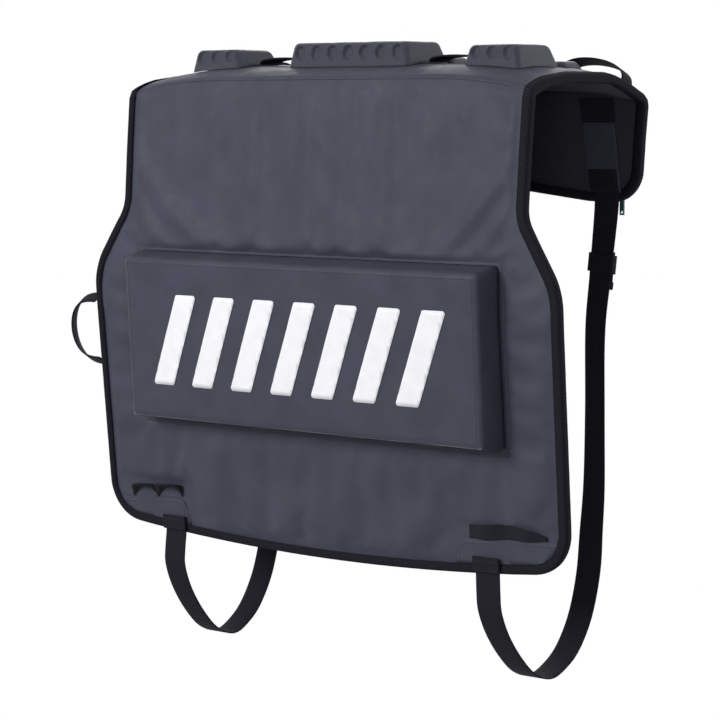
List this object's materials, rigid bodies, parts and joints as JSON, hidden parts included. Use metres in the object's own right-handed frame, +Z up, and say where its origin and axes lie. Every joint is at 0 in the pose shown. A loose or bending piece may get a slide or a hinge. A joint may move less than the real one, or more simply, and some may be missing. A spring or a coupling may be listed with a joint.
{
  "type": "tailgate bike pad",
  "caption": "Padded cover that hangs over a pickup tailgate, with moulded blocks and straps on top to hold bike frames, a raised foam box in front and webbing straps below.",
  "frame": {"origin": "middle of the lining's flat strip that rests on the tailgate's top edge", "axes": "+X along the tailgate to the right, -Y towards the person in front of the pad, +Z up"},
  "size_m": [0.7773, 0.286, 0.7541],
  "materials": {
    "tarpaulin": "coated polyester, semi-matt",
    "foam": "closed cell foam, matt",
    "moulded_foam": "moulded foam with a printed weave, semi-matt",
    "lining": "soft fleece, matt",
    "binding": "woven tape, matt",
    "webbing": "woven nylon, matt",
    "felt_band": "brushed tape, matt",
    "print": "transfer film, satin",
    "zip_plastic": "nylon, satin",
    "zip_metal": "black lacquer, satin",
    "pull_rubber": "soft rubber, matt"
  },
  "bodies": {
    "pad": {"anchor_patch_left": "webbing", "anchor_patch_right": "webbing", "bike_strap_left": "webbing", "bike_strap_right": "webbing", "box_face": "tarpaulin", "box_foam": "foam", "box_gusset": "tarpaulin", "corner_patch_left": "tarpaulin", "corner_patch_right": "tarpaulin", "edge_binding": "binding", "finger_band_left": "felt_band", "finger_band_right": "felt_band", "frame_block_centre": "moulded_foam", "frame_block_left": "moulded_foam", "frame_block_right": "moulded_foam", "front_cover": "tarpaulin", "front_foam": "foam", "front_lining": "lining", "print_bar_1": "print", "print_bar_2": "print", "print_bar_3": "print", "print_bar_4": "print", "print_bar_5": "print", "print_bar_6": "print", "print_bar_7": "print", "rear_block_centre": "moulded_foam", "rear_block_left": "moulded_foam", "rear_block_right": "moulded_foam", "rear_cover": "tarpaulin", "rear_foam": "foam", "rear_lining": "lining", "rear_loop_left": "webbing", "rear_loop_right": "webbing", "side_handle": "webbing", "strap_keeper_left": "webbing", "strap_keeper_right": "webbing", "strap_left": "webbing", "strap_right": "webbing", "strap_sleeve_left": "webbing", "strap_sleeve_right": "webbing", "strap_tab_left": "webbing", "strap_tab_right": "webbing", "strap_tail_left": "webbing", "strap_tail_right": "webbing", "top_cover": "tarpaulin", "top_foam": "foam", "top_lining": "lining", "zip_tape": "zip_plastic", "zip_teeth": "zip_plastic"},
    "zip_slider": {"zip_slider": "zip_metal"},
    "zip_pull": {"zip_pull": "pull_rubber"}
  },
  "joints": [
    {"name": "zip_slide", "type": "slide", "parent": "pad", "child": "zip_slider", "axis": [-1, 0, 0], "range_m": [0, 0.55]},
    {"name": "pull_swing", "type": "hinge", "parent": "zip_slider", "child": "zip_pull", "pos_m": [0.275, 0.11623, -0.11566], "axis": [1, 0, 0], "range_deg": [0, 150]}
  ]
}
